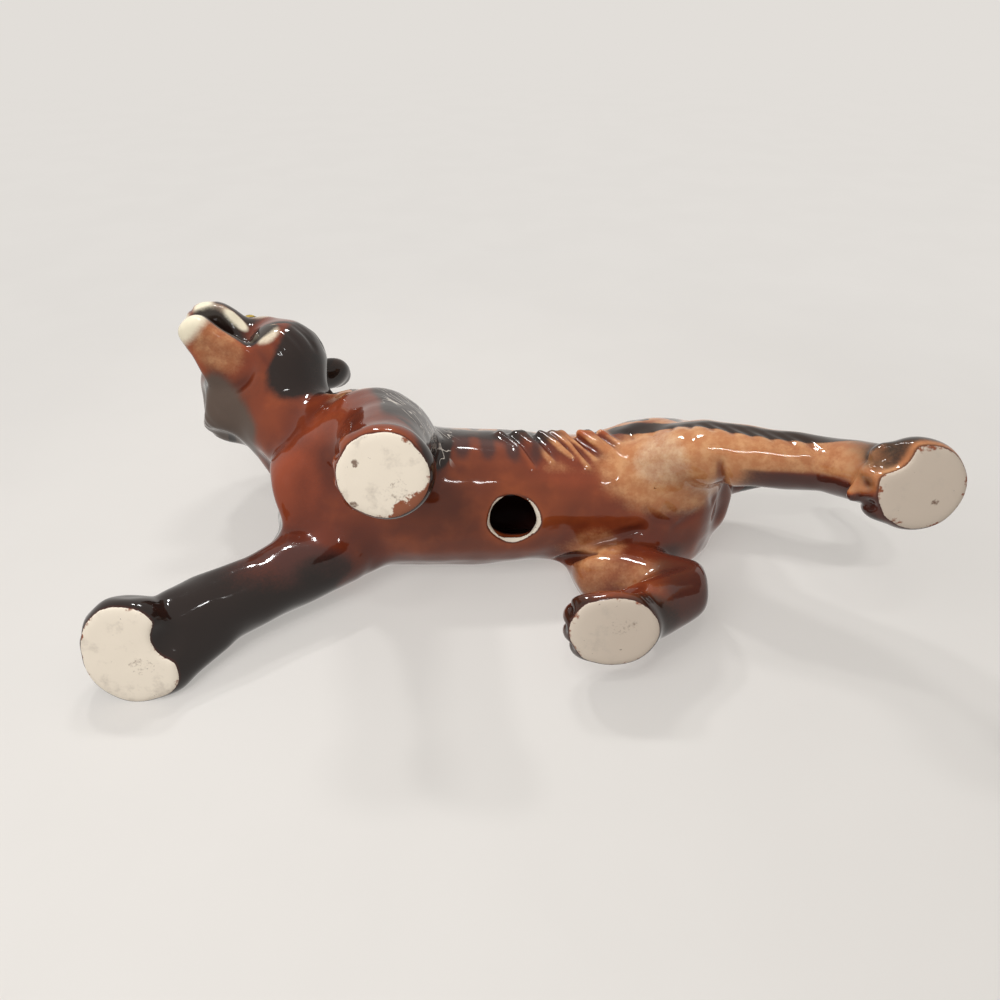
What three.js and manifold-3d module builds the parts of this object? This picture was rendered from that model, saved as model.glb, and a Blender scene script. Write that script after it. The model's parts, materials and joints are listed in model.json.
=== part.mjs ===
// A ceramic tiger on the walk, in millimetres. +Z is up, the tiger walks towards -X and its left side is -Y.
// The body and head are hollow slip castings. The jaw, ears, legs and tail are solid castings.
// Each piece is cut to the casting that carries it, and a thin layer of slip, fired with the rest, holds it.
import * as THREE from 'three';
import { mergeVertices } from 'three/addons/utils/BufferGeometryUtils.js';
import Module from 'manifold-3d';

const wasm = await Module();
wasm.setup();

// Castings and the slip between them
const WALL = 4.5;
const SLIP = 1.0;
const GAP = 0.3;

// Body
const BODY_LENGTH = 190;
const BODY_WIDTH = 54;
const BODY_DEPTH = 60;
const BELLY_HEIGHT = 45;
const VENT_WIDTH = 17;
const VENT_BEHIND_MIDDLE = 4;

// Muscles that stand out from the body: full length, width and height
const SHOULDER_BLADE = { length: 46, width: 21, height: 38 };
const HAUNCH = { length: 48, width: 22, height: 36 };
const BREAST = { length: 22, width: 34, height: 36 };

// Neck
const NECK_WIDTH = 44;
const NECK_DEPTH = 46;
const NECK_TAPER = 0.86;

// Head: where its middle is from the chest, the centre line and the belly, and how far it is turned left
const HEAD_AHEAD = 13;
const HEAD_ASIDE = 48;
const HEAD_ABOVE = 60;
const HEAD_TURN = THREE.MathUtils.degToRad(50);
const SKULL_LENGTH = 50;
const SKULL_WIDTH = 50;
const SKULL_HEIGHT = 46;
const RUFF_REACH = 32;
const RUFF_THICKNESS = 31;
const MUZZLE_REACH = 37;
const MUZZLE_WIDTH = 28;
const MUZZLE_HEIGHT = 22;
const BRIDGE_WIDTH = 20;
const BRIDGE_DEPTH = 15;
const JAW_LENGTH = 24;
const JAW_WIDTH = 21;
const JAW_DEPTH = 12;
const JAW_DROP = 3;
const EAR_WIDTH = 17;
const EAR_HEIGHT = 24;
const EAR_THICKNESS = 7;
const EAR_SPACING = 38;
const EAR_LEAN = THREE.MathUtils.degToRad(40);

// Tail
const TAIL_ROOT_WIDTH = 19;
const TAIL_TIP_WIDTH = 11;
const TAIL_REACH = 54;
const TAIL_ASIDE = 12;
const TAIL_SAG = 9;
const TAIL_CURL = 14;

// Legs: the sole's place from the shoulder or hip line and from the centre line, and its size
const PAW_HEIGHT = 20;
const SHOULDER_SHARE = 0.17;
const HIP_SHARE = 0.83;
const PAWS = {
  front_left: { line: SHOULDER_SHARE, back: 25, aside: -29.9, length: 29.5, width: 28 },
  front_right: { line: SHOULDER_SHARE, back: -65.3, aside: 33.2, length: 30, width: 36 },
  rear_left: { line: HIP_SHARE, back: 69, aside: -26, length: 27, width: 27 },
  rear_right: { line: HIP_SHARE, back: -25.3, aside: 24.4, length: 30, width: 25 },
};

// The lower joints of each leg: how far back and aside they are from the middle of its sole, and how high
const ELBOW_HEIGHT = 57;
const WRIST_HEIGHT = 14;
const REACHED_WRIST_HEIGHT = 17;
const HOCK_HEIGHT = 34;
const BENT_HOCK_HEIGHT = 29;
const ANKLE_HEIGHT = 11;
const LOWER_JOINTS = {
  front_left: {
    elbow: { back: -6, aside: 0, up: ELBOW_HEIGHT },
    wrist: { back: -1, aside: 0, up: WRIST_HEIGHT },
  },
  front_right: {
    wrist: { back: 11, aside: -3, up: REACHED_WRIST_HEIGHT },
  },
  rear_left: {
    hock: { back: -16, aside: 1, up: HOCK_HEIGHT },
    ankle: { back: -3, aside: 0, up: ANKLE_HEIGHT },
  },
  rear_right: {
    hock: { back: 35, aside: -3, up: BENT_HOCK_HEIGHT },
    ankle: { back: 8, aside: 0, up: ANKLE_HEIGHT },
  },
};

// Limb thickness, across the body and square to the bone
const UPPER_ARM = { wide: 42, deep: 46 };
const FAR_UPPER_ARM = { wide: 30, deep: 46 };
const ELBOW = { wide: 29, deep: 36 };
const FAR_ELBOW = { wide: 25, deep: 31 };
const WRIST = { wide: 26, deep: 26 };
const THIGH = { wide: 33, deep: 48 };
const KNEE = { wide: 25, deep: 32 };
const HOCK = { wide: 19, deep: 20.5 };
const ANKLE = { wide: 22, deep: 21 };

// Fineness of the faces
const BODY_SIDES = 24;
const BODY_RINGS = 17;
const LIMB_SIDES = 18;
const LIMB_RINGS = 3;
const DOME_RINGS = 3;
const BLOB_DETAIL = 4;
const VENT_SIDES = 20;
const WELD = 1e-4;

const ACROSS = new THREE.Vector3(0, 1, 0);

function vec(x, y, z) {
  return new THREE.Vector3(x, y, z);
}

// Places on the body, as shares of its length from the chest, of its half width from the centre line
// and of its depth from the belly
function onBody(along, aside, up) {
  return vec((along - 0.5) * BODY_LENGTH, aside * BODY_WIDTH / 2, BELLY_HEIGHT + up * BODY_DEPTH);
}

// Closed meshes in and out of the boolean library
function solid(geometry) {
  const bare = geometry.clone();
  bare.deleteAttribute('normal');
  bare.deleteAttribute('uv');
  const welded = mergeVertices(bare, WELD);
  const vertProperties = new Float32Array(welded.attributes.position.array);
  const triVerts = new Uint32Array(welded.index.array);
  return new wasm.Manifold(new wasm.Mesh({ numProp: 3, vertProperties, triVerts }));
}

function geometryOf(shape) {
  const mesh = shape.getMesh();
  const geometry = new THREE.BufferGeometry();
  geometry.setAttribute('position', new THREE.BufferAttribute(mesh.vertProperties, 3));
  geometry.setIndex(new THREE.BufferAttribute(mesh.triVerts, 1));
  geometry.computeVertexNormals();
  return geometry;
}

function joined(shapes) {
  return shapes.reduce((whole, shape) => whole.add(shape));
}

// A skin over oval rings along a smooth path, with a dome or a flat face at each end.
// A station is a place with a full width across the body and a full depth square to the path.
function loft(stations, { sides, rings, grow = 0, startDome = 0.7, endDome = 0.7 }) {
  const path = new THREE.CatmullRomCurve3(stations.map((station) => station.at), false, 'centripetal');
  const halves = stations.map((station) => vec(station.wide / 2, station.deep / 2, 0));
  const sizes = new THREE.CatmullRomCurve3(halves, false, 'catmullrom', 0.5);

  function ring(share, slide, shrink) {
    const tangent = path.getTangent(share);
    const side = ACROSS.clone().addScaledVector(tangent, -ACROSS.dot(tangent)).normalize();
    const rise = tangent.clone().cross(side);
    const size = sizes.getPoint(share);
    const middle = path.getPoint(share).addScaledVector(tangent, slide);
    const points = [];
    for (let i = 0; i < sides; i += 1) {
      const angle = i / sides * 2 * Math.PI;
      const point = middle.clone();
      point.addScaledVector(side, (size.x + grow) * shrink * Math.cos(angle));
      point.addScaledVector(rise, (size.y + grow) * shrink * Math.sin(angle));
      points.push(point);
    }
    return points;
  }

  function domeHeight(share, bulge) {
    const size = sizes.getPoint(share);
    return bulge * Math.min(size.x, size.y) + grow;
  }

  // Rings that shrink away from an end along direction, and the pole that closes them
  function domeOf(share, bulge, direction) {
    const height = domeHeight(share, bulge) * direction;
    const layers = [];
    for (let i = 1; bulge > 0 && i <= DOME_RINGS; i += 1) {
      const angle = i / (DOME_RINGS + 1) * Math.PI / 2;
      layers.push(ring(share, height * Math.sin(angle), Math.cos(angle)));
    }
    const pole = path.getPoint(share).addScaledVector(path.getTangent(share), height);
    return { layers, pole };
  }

  const start = domeOf(0, startDome, -1);
  const end = domeOf(1, endDome, 1);
  const skin = start.layers.reverse();
  for (let i = 0; i <= rings; i += 1) {
    const flatStart = i === 0 && startDome === 0;
    const flatEnd = i === rings && endDome === 0;
    skin.push(ring(i / rings, (flatEnd - flatStart) * grow, 1));
  }
  skin.push(...end.layers);

  const corners = [];
  const last = skin.length - 1;
  for (let j = 0; j < sides; j += 1) {
    const next = (j + 1) % sides;
    corners.push(start.pole, skin[0][next], skin[0][j]);
    for (let i = 0; i < last; i += 1) {
      corners.push(skin[i][j], skin[i][next], skin[i + 1][j]);
      corners.push(skin[i][next], skin[i + 1][next], skin[i + 1][j]);
    }
    corners.push(end.pole, skin[last][j], skin[last][next]);
  }
  return solid(new THREE.BufferGeometry().setFromPoints(corners));
}

// A rounded lump, by its middle and its full length, width and height, leaning towards +X
function blob(middle, size, { grow = 0, detail = BLOB_DETAIL, lean = 0 } = {}) {
  const geometry = new THREE.IcosahedronGeometry(1, detail);
  geometry.scale(size.x / 2 + grow, size.y / 2 + grow, size.z / 2 + grow);
  geometry.rotateY(lean);
  geometry.translate(middle.x, middle.y, middle.z);
  return solid(geometry);
}

// Body and neck: the underside, topline and width along the body, as shares of the belly's depth and width
const TORSO_SHARES = [
  { along: 0.045, low: 0.2, high: 0.84, wide: 0.72 },
  { along: 0.11, low: 0.08, high: 0.99, wide: 0.88 },
  { along: 0.23, low: -0.02, high: 1.07, wide: 1.03 },
  { along: 0.36, low: -0.03, high: 1.05, wide: 1.06 },
  { along: 0.52, low: 0, high: 1, wide: 1.02 },
  { along: 0.66, low: 0.05, high: 0.97, wide: 0.95 },
  { along: 0.78, low: 0.06, high: 1, wide: 0.99 },
  { along: 0.89, low: 0.12, high: 0.98, wide: 0.91 },
  { along: 0.955, low: 0.3, high: 0.87, wide: 0.64 },
];
const TORSO_DOME_SHARE = 0.55;

function torsoLoft(sides, rings, grow) {
  const stations = TORSO_SHARES.map(({ along, low, high, wide }) => ({
    at: onBody(along, 0, (low + high) / 2),
    wide: wide * BODY_WIDTH,
    deep: (high - low) * BODY_DEPTH,
  }));
  return loft(stations, { sides, rings, grow, startDome: TORSO_DOME_SHARE, endDome: TORSO_DOME_SHARE });
}

const headPlace = onBody(0, 0, 0).add(vec(-HEAD_AHEAD, -HEAD_ASIDE, HEAD_ABOVE));
const headFrame = new THREE.Matrix4().makeRotationZ(HEAD_TURN).setPosition(headPlace);
const skull = vec(SKULL_LENGTH, SKULL_WIDTH, SKULL_HEIGHT);
const skullMiddle = vec(SKULL_LENGTH * 0.06, 0, SKULL_HEIGHT * 0.11);

function neckStations() {
  const root = onBody(0.15, 0, 0.58);
  const end = vec(SKULL_LENGTH * 0.2, 0, -SKULL_HEIGHT * 0.14).applyMatrix4(headFrame);
  const middle = root.clone().lerp(end, 0.5);
  return [
    { at: root, wide: NECK_WIDTH, deep: NECK_DEPTH },
    { at: middle, wide: NECK_WIDTH, deep: NECK_DEPTH },
    { at: end, wide: NECK_WIDTH * NECK_TAPER, deep: NECK_DEPTH * NECK_TAPER },
  ];
}

function muscle(place, { length, width, height }, grow) {
  return blob(place, vec(length, width, height), { grow, detail: BLOB_DETAIL - 1 });
}

function bodySkin(grow) {
  return joined([
    torsoLoft(BODY_SIDES, BODY_RINGS, grow),
    loft(neckStations(), { sides: BODY_SIDES, rings: 2 * LIMB_RINGS, grow, endDome: 0 }),
    muscle(onBody(0.216, -0.7, 0.68), SHOULDER_BLADE, grow),
    muscle(onBody(0.216, 0.7, 0.68), SHOULDER_BLADE, grow),
    muscle(onBody(0.837, -0.68, 0.58), HAUNCH, grow),
    muscle(onBody(0.837, 0.68, 0.58), HAUNCH, grow),
    muscle(onBody(0.065, -0.2, 0.38), BREAST, grow),
  ]);
}

// The hollow runs on through the end of the neck, so that it opens into the head
function bodyHollow() {
  const torso = torsoLoft(LIMB_SIDES, BODY_RINGS - 4, -WALL);
  const neck = neckStations();
  const end = neck.at(-1);
  const outward = end.at.clone().sub(neck[1].at).normalize();
  neck.push({ ...end, at: end.at.clone().addScaledVector(outward, 4 * WALL) });
  return torso.add(loft(neck, { sides: LIMB_SIDES, rings: 2 * LIMB_RINGS, grow: -WALL, endDome: 0 }));
}

function ventCut() {
  const cut = new THREE.CylinderGeometry(VENT_WIDTH / 2, VENT_WIDTH / 2, BODY_DEPTH, VENT_SIDES);
  cut.rotateX(Math.PI / 2);
  cut.translate(VENT_BEHIND_MIDDLE, 0, BELLY_HEIGHT);
  return solid(cut);
}

// A piece stuck to a casting: the slip lies between the casting's skin and the piece's cut face
function stuck(shape, skinOf) {
  const inner = skinOf(GAP);
  const outer = skinOf(GAP + SLIP);
  const clear = skinOf(GAP + SLIP + GAP);
  return { piece: shape.subtract(clear), slip: shape.intersect(outer).subtract(inner) };
}

// Legs: tapered rounded bars from inside the body to a paw with a flat sole
function bar(from, to) {
  return loft([from, to], { sides: LIMB_SIDES, rings: LIMB_RINGS });
}

function pawMiddle(name) {
  const { line, back, aside } = PAWS[name];
  return onBody(line, 0, 0).setZ(0).add(vec(back, aside, 0));
}

function pawSolid(name) {
  const { length, width } = PAWS[name];
  const lift = PAW_HEIGHT * 0.3;
  const half = PAW_HEIGHT - lift;
  const spread = 1 / Math.sqrt(1 - (lift / half) ** 2);
  return blob(pawMiddle(name).setZ(lift), vec(length * spread, width * spread, 2 * half));
}

function belowGround() {
  const reach = 4 * BODY_LENGTH;
  const ground = new THREE.BoxGeometry(reach, reach, reach);
  ground.translate(0, 0, -reach / 2);
  return solid(ground);
}

// Each leg's joints, from its root in the body to its paw
function legJoints(name) {
  const overSole = (joint) => {
    const { back, aside, up } = LOWER_JOINTS[name][joint];
    return pawMiddle(name).add(vec(back, aside, up));
  };
  const ways = {
    front_left: () => [
      { at: onBody(0.18, -0.86, 0.6), ...UPPER_ARM },
      { at: overSole('elbow'), ...ELBOW },
      { at: overSole('wrist'), ...WRIST },
    ],
    front_right: () => [
      { at: onBody(0.16, 0.5, 0.62), ...FAR_UPPER_ARM },
      { at: onBody(0.16, 0.6, 0.15), ...FAR_ELBOW },
      { at: overSole('wrist'), ...WRIST },
    ],
    rear_left: () => [
      { at: onBody(0.83, -0.5, 0.52), ...THIGH },
      { at: onBody(0.9, -0.9, 0.14), ...KNEE },
      { at: overSole('hock'), ...HOCK },
      { at: overSole('ankle'), ...ANKLE },
    ],
    rear_right: () => [
      { at: onBody(0.82, 0.5, 0.52), ...THIGH },
      { at: onBody(0.71, 0.88, 0.1), ...KNEE },
      { at: overSole('hock'), ...HOCK },
      { at: overSole('ankle'), ...ANKLE },
    ],
  };
  return ways[name]();
}

function legSolid(name) {
  const way = legJoints(name);
  const bars = way.slice(1).map((end, i) => bar(way[i], end));
  return joined([...bars, pawSolid(name)]).subtract(belowGround());
}

// Tail: back from the rump and down a little, with its tip curled up
function tailSolid() {
  const rump = onBody(0.93, 0, 0.74);
  const place = (reach, aside, up) => rump.clone().add(vec(reach * TAIL_REACH, -aside * TAIL_ASIDE, up));
  const round = (share) => {
    const width = THREE.MathUtils.lerp(TAIL_ROOT_WIDTH, TAIL_TIP_WIDTH, share);
    return { wide: width, deep: width };
  };
  const stations = [
    { at: place(-0.2, 0, 0), ...round(0) },
    { at: place(0.35, 0.5, -TAIL_SAG * 0.2), ...round(0.35) },
    { at: place(0.7, 1, -TAIL_SAG), ...round(0.7) },
    { at: place(1, 1.08, -TAIL_SAG), ...round(0.9) },
    { at: place(1.13, 1, TAIL_CURL * 0.15), ...round(1) },
    { at: place(1.08, 0.84, TAIL_CURL), ...round(1.1) },
  ];
  return loft(stations, { sides: LIMB_SIDES - 2, rings: BODY_RINGS });
}

// Head pieces, in the head's own frame: its face looks along -X
function headSkin(grow) {
  const ruff = vec(SKULL_LENGTH * 0.66, RUFF_THICKNESS, SKULL_HEIGHT * 0.84);
  const ruffMiddle = vec(SKULL_LENGTH * 0.1, RUFF_REACH - RUFF_THICKNESS / 2, -SKULL_HEIGHT * 0.13);
  const muzzle = vec(MUZZLE_REACH * 1.2, MUZZLE_WIDTH, MUZZLE_HEIGHT);
  const muzzleMiddle = vec(muzzle.x / 2 - MUZZLE_REACH, 0, -SKULL_HEIGHT * 0.09);
  const bridge = { wide: BRIDGE_WIDTH, deep: BRIDGE_DEPTH };
  const brow = { at: vec(-SKULL_LENGTH * 0.2, 0, SKULL_HEIGHT * 0.32), ...bridge };
  const nose = { at: vec(BRIDGE_DEPTH / 2 - MUZZLE_REACH, 0, SKULL_HEIGHT * 0.03), ...bridge };
  return joined([
    blob(skullMiddle, skull, { grow }),
    blob(ruffMiddle, ruff, { grow }),
    blob(ruffMiddle.clone().setY(-ruffMiddle.y), ruff, { grow }),
    blob(muzzleMiddle, muzzle, { grow }),
    loft([brow, nose], { sides: LIMB_SIDES, rings: LIMB_RINGS, grow, endDome: 0.5 }),
  ]);
}

function headHollow() {
  return blob(skullMiddle, skull, { grow: -WALL, detail: BLOB_DETAIL - 2 });
}

function jawSolid() {
  const heel = vec(-SKULL_LENGTH * 0.04, 0, -SKULL_HEIGHT * 0.36);
  const chin = heel.clone().add(vec(-JAW_LENGTH, 0, -JAW_DROP));
  return loft([
    { at: heel, wide: JAW_WIDTH * 1.2, deep: JAW_DEPTH },
    { at: heel.clone().lerp(chin, 0.55), wide: JAW_WIDTH, deep: JAW_DEPTH * 0.9 },
    { at: chin, wide: JAW_WIDTH * 0.8, deep: JAW_DEPTH * 0.8 },
  ], { sides: LIMB_SIDES, rings: LIMB_RINGS + 2 });
}

function earSolid(side) {
  const middle = vec(SKULL_LENGTH * 0.42, side * EAR_SPACING / 2, SKULL_HEIGHT * 0.47);
  const size = vec(EAR_THICKNESS, EAR_WIDTH, EAR_HEIGHT);
  return blob(middle, size, { detail: BLOB_DETAIL - 1, lean: EAR_LEAN });
}

// The scene
const GLAZE = { brown: 0x7a3a20, tan: 0xb4713f, black: 0x2b211d, cream: 0xd8cdb2, bisque: 0xb9a58c };
const GLAZE_ROUGHNESS = 0.12;

function node(name, shape, color) {
  const material = new THREE.MeshStandardMaterial({ color, roughness: GLAZE_ROUGHNESS, metalness: 0 });
  const mesh = new THREE.Mesh(geometryOf(shape), material);
  mesh.name = name;
  return mesh;
}

function addStuck(parent, name, slipName, { piece, slip }, color) {
  parent.add(node(name, piece, color), node(slipName, slip, GLAZE.bisque));
}

const tiger = new THREE.Group();
const head = new THREE.Group();
head.position.copy(headPlace);
head.rotation.z = HEAD_TURN;
tiger.add(head);

tiger.add(node('torso', bodySkin(0).subtract(bodyHollow()).subtract(ventCut()), GLAZE.brown));

for (const name of Object.keys(PAWS)) {
  const color = name === 'rear_left' ? GLAZE.tan : GLAZE.brown;
  addStuck(tiger, `${name}_leg`, `${name}_slip_joint`, stuck(legSolid(name), bodySkin), color);
}
addStuck(tiger, 'tail', 'tail_slip_joint', stuck(tailSolid(), bodySkin), GLAZE.black);

function bodySkinInHead(grow) {
  const turned = geometryOf(bodySkin(grow));
  turned.applyMatrix4(headFrame.clone().invert());
  return solid(turned);
}

const neckClear = bodySkinInHead(GAP + SLIP + GAP);
const headShell = headSkin(0).subtract(headHollow());
addStuck(head, 'head', 'neck_slip_joint', stuck(headShell, bodySkinInHead), GLAZE.black);
const jaw = jawSolid().subtract(neckClear);
addStuck(head, 'lower_jaw', 'jaw_slip_joint', stuck(jaw, headSkin), GLAZE.cream);
for (const [name, side] of [['left', -1], ['right', 1]]) {
  addStuck(head, `${name}_ear`, `${name}_ear_slip_joint`, stuck(earSolid(side), headSkin), GLAZE.black);
}

// The origin is on the ground, under the middle of the tiger's outline
tiger.updateMatrixWorld(true);
const bounds = new THREE.Box3().setFromObject(tiger, true);
const middle = bounds.getCenter(vec(0, 0, 0));
tiger.position.set(-middle.x, -middle.y, -bounds.min.z);

export default tiger;
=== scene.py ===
"""A glazed ceramic tiger figurine, dressed over its packed castings.

The castings are joined into one distance field on a grid. Muscles, face, fur and folds are modelled into
it, and its skin is cut up by casting into closed pieces. Paint is set out on the skin as masks, and one
glaze material turns them into colour, gloss and fine relief. Lengths are in millimetres until a mesh is
made.
"""

import json
import math

import bpy
import numpy as np
import openvdb
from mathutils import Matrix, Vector


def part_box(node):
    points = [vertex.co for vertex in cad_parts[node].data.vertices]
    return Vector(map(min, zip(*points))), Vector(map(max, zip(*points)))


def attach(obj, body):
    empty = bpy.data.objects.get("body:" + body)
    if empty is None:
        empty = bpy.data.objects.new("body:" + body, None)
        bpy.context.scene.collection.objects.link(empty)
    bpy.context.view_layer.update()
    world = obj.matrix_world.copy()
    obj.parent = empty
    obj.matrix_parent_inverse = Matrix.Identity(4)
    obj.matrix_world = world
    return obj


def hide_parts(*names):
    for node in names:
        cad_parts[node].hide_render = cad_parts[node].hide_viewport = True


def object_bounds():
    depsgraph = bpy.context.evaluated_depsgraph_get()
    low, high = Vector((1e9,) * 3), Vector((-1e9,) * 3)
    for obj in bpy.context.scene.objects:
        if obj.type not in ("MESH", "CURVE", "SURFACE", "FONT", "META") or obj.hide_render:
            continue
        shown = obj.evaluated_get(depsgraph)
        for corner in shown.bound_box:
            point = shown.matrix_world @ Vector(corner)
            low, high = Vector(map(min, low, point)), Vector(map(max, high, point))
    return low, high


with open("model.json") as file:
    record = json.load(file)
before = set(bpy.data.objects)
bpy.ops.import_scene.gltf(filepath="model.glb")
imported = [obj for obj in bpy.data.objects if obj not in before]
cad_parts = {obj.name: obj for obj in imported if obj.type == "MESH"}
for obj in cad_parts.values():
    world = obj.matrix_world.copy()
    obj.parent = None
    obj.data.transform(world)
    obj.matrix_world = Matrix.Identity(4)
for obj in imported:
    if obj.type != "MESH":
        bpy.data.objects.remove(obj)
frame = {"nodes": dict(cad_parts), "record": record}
cad_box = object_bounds()
scene = bpy.context.scene

MM = 1000.0  # millimetres in a metre
SIDES = (-1, 1)  # left and right
EAR_NODES = ("left_ear", "right_ear")
CORNERS = [(i, j, k) for i in (0, 1) for j in (0, 1) for k in (0, 1)]  # of a cube of the grid

# The grid
VOXEL = 0.8
BAND = 12  # voxels on each side of a surface that hold a true distance
ROOM = 6.0  # empty room round the castings
CLOSE = 0.25  # closes the gaps between the castings and their slip
SLIP_FLOW = 1.0  # how widely a slip joint flows into its casting
SOFTEN = 2.0  # blur, in voxels, that takes the flat faces off
SETTLE = 0.7  # blur, in voxels, that glaze gives to the finer modelling
HOLLOW_LOOK = 2.5  # blur, in voxels, that tells a hollow from a ridge
BLUR_REACH = 2.5  # where a blur is cut off, in spreads
RIM = 1.2  # rounding of the soles' edges
UNEVEN = 0.3  # how far the casting wanders
WANDER = (4.6, 2.3)  # length of its slow and its quick waves
TINY = 1e-6  # keeps a division away from nought
LEAST_LEAD = 1e-3  # keeps a seam from falling on a grid point

# Each piece: the CAD nodes that it stands for, how widely it flows into the others, and its finish
PIECES = {
    "torso": (["torso"], 1.0, "glaze_brown"),
    "front_left_leg": (["front_left_leg", "front_left_slip_joint"], 10.0, "glaze_brown"),
    "front_right_leg": (["front_right_leg", "front_right_slip_joint"], 10.0, "glaze_brown"),
    "rear_left_leg": (["rear_left_leg", "rear_left_slip_joint"], 12.0, "glaze_tan"),
    "rear_right_leg": (["rear_right_leg", "rear_right_slip_joint"], 10.0, "glaze_tan"),
    "tail": (["tail", "tail_slip_joint"], 6.0, "glaze_black"),
    "head": (["head", "neck_slip_joint"], 8.0, "glaze_black"),
    "lower_jaw": (["lower_jaw", "jaw_slip_joint"], 1.5, "glaze_cream"),
    "left_ear": (["left_ear", "left_ear_slip_joint"], 4.0, "glaze_black"),
    "right_ear": (["right_ear", "right_ear_slip_joint"], 4.0, "glaze_black"),
}
NUMBER = {name: number for number, name in enumerate(PIECES, start=1)}


# Places, from the frame

class Place:
    """A turned origin: shapes are set out in its own x, y and z."""

    def __init__(self, origin, turn=0.0):
        self.origin = np.array(origin, float)
        cos, sin = math.cos(turn), math.sin(turn)
        self.axes = np.array([[cos, sin, 0], [-sin, cos, 0], [0, 0, 1.0]])

    def world(self, point):
        return self.origin + np.asarray(point, float) @ self.axes

    def local(self, x, y, z):
        x, y, z = x - self.origin[0], y - self.origin[1], z - self.origin[2]
        return [a[0] * x + a[1] * y + a[2] * z for a in self.axes]


def middle_of(node):
    low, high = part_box(node)
    return np.array((low + high) / 2) * MM


SOLES = {m["name"].removesuffix("_sole"): np.array(m["pos_m"]) * MM for m in frame["record"]["mounts"]}
OPENINGS = {o["name"]: np.array(o["box_m"]) * MM for o in frame["record"]["physics"]["openings"]}

vent_middle = OPENINGS["vent_hole"].mean(axis=0)
BODY = Place([vent_middle[0], vent_middle[1], 0])

EARS_BEHIND = 21.5  # the ears' middle from the head's middle
HEAD_UNDER_EARS = 22.0
left_ear, right_ear = [middle_of(node) for node in EAR_NODES]
ear_line = right_ear - left_ear
head_turn = math.atan2(-ear_line[0], ear_line[1])
ears_middle = (right_ear + left_ear) / 2
back_of_head = np.array([math.cos(head_turn), math.sin(head_turn), 0])
HEAD = Place(ears_middle - EARS_BEHIND * back_of_head - [0, 0, HEAD_UNDER_EARS], head_turn)
EAR_MIDDLES = [np.array(HEAD.local(*middle)) for middle in (left_ear, right_ear)]


# The distance field

def cad_mesh(node):
    mesh = frame["nodes"][node].data
    mesh.calc_loop_triangles()
    points = np.empty(len(mesh.vertices) * 3, np.float32)
    mesh.vertices.foreach_get("co", points)
    corners = np.empty(len(mesh.loop_triangles) * 3, np.int32)
    mesh.loop_triangles.foreach_get("vertices", corners)
    return points.reshape(-1, 3) * MM, corners.reshape(-1, 3).astype(np.uint32)


def length(*parts):
    """The length of a vector, given by its parts."""
    return np.sqrt(sum(part ** 2 for part in parts))


def smooth_least(a, b, width):
    """The lesser of two distances, rounded where they are within width of each other."""
    near = np.clip(0.5 + 0.5 * (b - a) / width, 0, 1)
    return b + (a - b) * near - width * near * (1 - near)


def smooth_most(a, b, width):
    return -smooth_least(-a, -b, width)


def blurred(field, spread):
    """A Gaussian blur, spread in voxels."""
    reach = int(math.ceil(BLUR_REACH * spread))
    weights = np.exp(-0.5 * (np.arange(-reach, reach + 1) / spread) ** 2).astype(np.float32)
    weights /= weights.sum()
    for axis in range(3):
        padding = [(0, 0)] * 3
        padding[axis] = (reach, reach)
        padded = np.pad(field, padding, mode="edge")
        size = field.shape[axis]
        total = np.zeros_like(field)
        for i, weight in enumerate(weights):
            cut = [slice(None)] * 3
            cut[axis] = slice(i, i + size)
            total += weight * padded[tuple(cut)]
        field = total
    return field


low_corner, high_corner = [np.array(corner) * MM for corner in cad_box]
first = np.floor((low_corner - ROOM) / VOXEL).astype(int)
shape = tuple(int(n) for n in np.ceil((high_corner + ROOM) / VOXEL).astype(int) - first + 1)
origin = first * VOXEL


def span(low, high):
    """The grid's slices that cover a box."""
    start = np.clip(np.floor((np.asarray(low) - origin) / VOXEL).astype(int), 0, shape)
    stop = np.clip(np.ceil((np.asarray(high) - origin) / VOXEL).astype(int) + 1, 0, shape)
    return tuple(slice(int(a), int(b)) for a, b in zip(start, stop))


def coordinates(cut):
    """The x, y and z of a part of the grid."""
    lines = [origin[axis] + VOXEL * np.arange(s.start, s.stop) for axis, s in enumerate(cut)]
    return np.ix_(*[line.astype(np.float32) for line in lines])


def casting_distance(node):
    """A casting's distance field, and the slices of the grid that it covers."""
    points, corners = cad_mesh(node)
    reach = BAND * VOXEL
    cut = span(points.min(axis=0) - reach, points.max(axis=0) + reach)
    transform = openvdb.createLinearTransform(voxelSize=VOXEL)
    grid = openvdb.FloatGrid.createLevelSetFromPolygons(
        points, triangles=corners, transform=transform, halfWidth=BAND)
    values = np.empty([s.stop - s.start for s in cut], np.float32)
    grid.copyToArray(values, ijk=tuple(int(s.start + f) for s, f in zip(cut, first)))
    return values, cut


far = np.float32(BAND * VOXEL)
distance = np.full(shape, far, np.float32)
nearest = np.full(shape, far, np.float32)
runner_up = np.full(shape, far, np.float32)
owner = np.zeros(shape, np.int8)
for name, (nodes, flow, _) in PIECES.items():
    number = NUMBER[name]
    for node in nodes:
        values, cut = casting_distance(node)
        width = flow if node == nodes[0] else SLIP_FLOW
        distance[cut] = smooth_least(distance[cut], values, np.float32(width))
        same = owner[cut] == number
        closer = values < nearest[cut]
        second = np.minimum(runner_up[cut], np.maximum(values, nearest[cut]))
        runner_up[cut] = np.where(same, runner_up[cut], second)
        owner[cut] = np.where(closer, number, owner[cut])
        nearest[cut] = np.minimum(nearest[cut], values)


# Modelling tools

def covering(place, path, reach):
    """The slices of the grid within reach of a path."""
    spots = np.array([place.world(p) for p in path])
    return span(spots.min(axis=0) - reach, spots.max(axis=0) + reach)


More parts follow.
